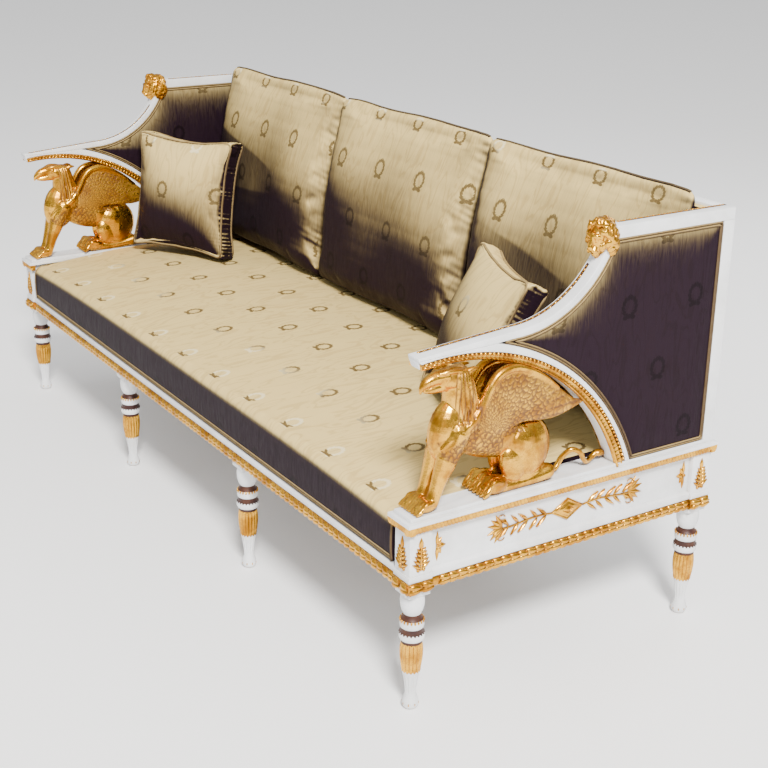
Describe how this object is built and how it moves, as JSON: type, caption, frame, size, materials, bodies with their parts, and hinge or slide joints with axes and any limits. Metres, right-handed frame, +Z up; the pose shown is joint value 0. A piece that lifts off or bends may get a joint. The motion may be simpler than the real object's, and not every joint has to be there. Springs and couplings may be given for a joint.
{
  "type": "sofa",
  "caption": "Straight settee in white paint and gilding with carved griffins under curved arms, lion heads, turned legs and loose olive cushions",
  "frame": {"origin": "on the floor, under the middle of the sofa", "axes": "+X along the seat towards its right end as drawn, -Y is the front, +Z is up"},
  "size_m": [2.182, 0.808, 0.977],
  "materials": {
    "white_paint": "aged satin white paint",
    "gilding": "burnished gold leaf over red clay, worn on the high places",
    "bare_wood": "planed pine, not finished",
    "cover_fabric": "olive watered silk with woven wreaths",
    "stuffing": "hair stuffing under calico",
    "webbing": "woven jute",
    "steel": "plain wood screws"
  },
  "bodies": {
    "frame": {"arch_moulding_left": "gilding", "arch_moulding_right": "gilding", "arm_arch_left": "white_paint", "arm_arch_right": "white_paint", "arm_panel_left": "cover_fabric", "arm_panel_right": "cover_fabric", "arm_sweep_left": "white_paint", "arm_sweep_right": "white_paint", "arm_top_rail_left": "white_paint", "arm_top_rail_right": "white_paint", "back_crest_rail": "white_paint", "back_lower_rail": "white_paint", "back_outside_cover": "cover_fabric", "back_pad": "cover_fabric", "base_moulding_front": "gilding", "base_moulding_left": "gilding", "base_moulding_right": "gilding", "brace_screws": "steel", "corner_braces": "bare_wood", "cove_left": "gilding", "cove_right": "gilding", "fixing_dowels": "bare_wood", "frieze_mounts_left": "gilding", "frieze_mounts_right": "gilding", "front_left_corner_block": "white_paint", "front_right_corner_block": "white_paint", "front_seat_rail": "white_paint", "griffin_left": "gilding", "griffin_right": "gilding", "griffin_wings_left": "gilding", "griffin_wings_right": "gilding", "left_seat_rail": "white_paint", "leg_front_left": "white_paint", "leg_front_mid_left": "white_paint", "leg_front_mid_right": "white_paint", "leg_front_right": "white_paint", "leg_rear_left": "white_paint", "leg_rear_mid_left": "white_paint", "leg_rear_mid_right": "white_paint", "leg_rear_right": "white_paint", "lion_head_left": "gilding", "lion_head_right": "gilding", "plinth_left": "white_paint", "plinth_right": "white_paint", "rear_left_corner_block": "white_paint", "rear_post_left": "white_paint", "rear_post_right": "white_paint", "rear_right_corner_block": "white_paint", "rear_seat_rail": "white_paint", "right_seat_rail": "white_paint", "seat_cover": "cover_fabric", "seat_cross_rails": "bare_wood", "seat_stuffing": "stuffing", "seat_webbing": "webbing"},
    "back_cushion_left": {"back_cushion_left": "cover_fabric"},
    "back_cushion_middle": {"back_cushion_middle": "cover_fabric"},
    "back_cushion_right": {"back_cushion_right": "cover_fabric"},
    "scatter_pillow_left": {"scatter_pillow_left": "cover_fabric"},
    "scatter_pillow_right": {"scatter_pillow_right": "cover_fabric"}
  },
  "joints": [
    {"name": "back_cushion_left_lift", "type": "slide", "parent": "frame", "child": "back_cushion_left", "axis": [0, 0, 1], "range_m": [0, 0.55]},
    {"name": "back_cushion_middle_lift", "type": "slide", "parent": "frame", "child": "back_cushion_middle", "axis": [0, 0, 1], "range_m": [0, 0.55]},
    {"name": "back_cushion_right_lift", "type": "slide", "parent": "frame", "child": "back_cushion_right", "axis": [0, 0, 1], "range_m": [0, 0.55]},
    {"name": "scatter_pillow_left_lift", "type": "slide", "parent": "frame", "child": "scatter_pillow_left", "axis": [0, 0, 1], "range_m": [0, 0.4]},
    {"name": "scatter_pillow_right_lift", "type": "slide", "parent": "frame", "child": "scatter_pillow_right", "axis": [0, 0, 1], "range_m": [0, 0.4]}
  ]
}
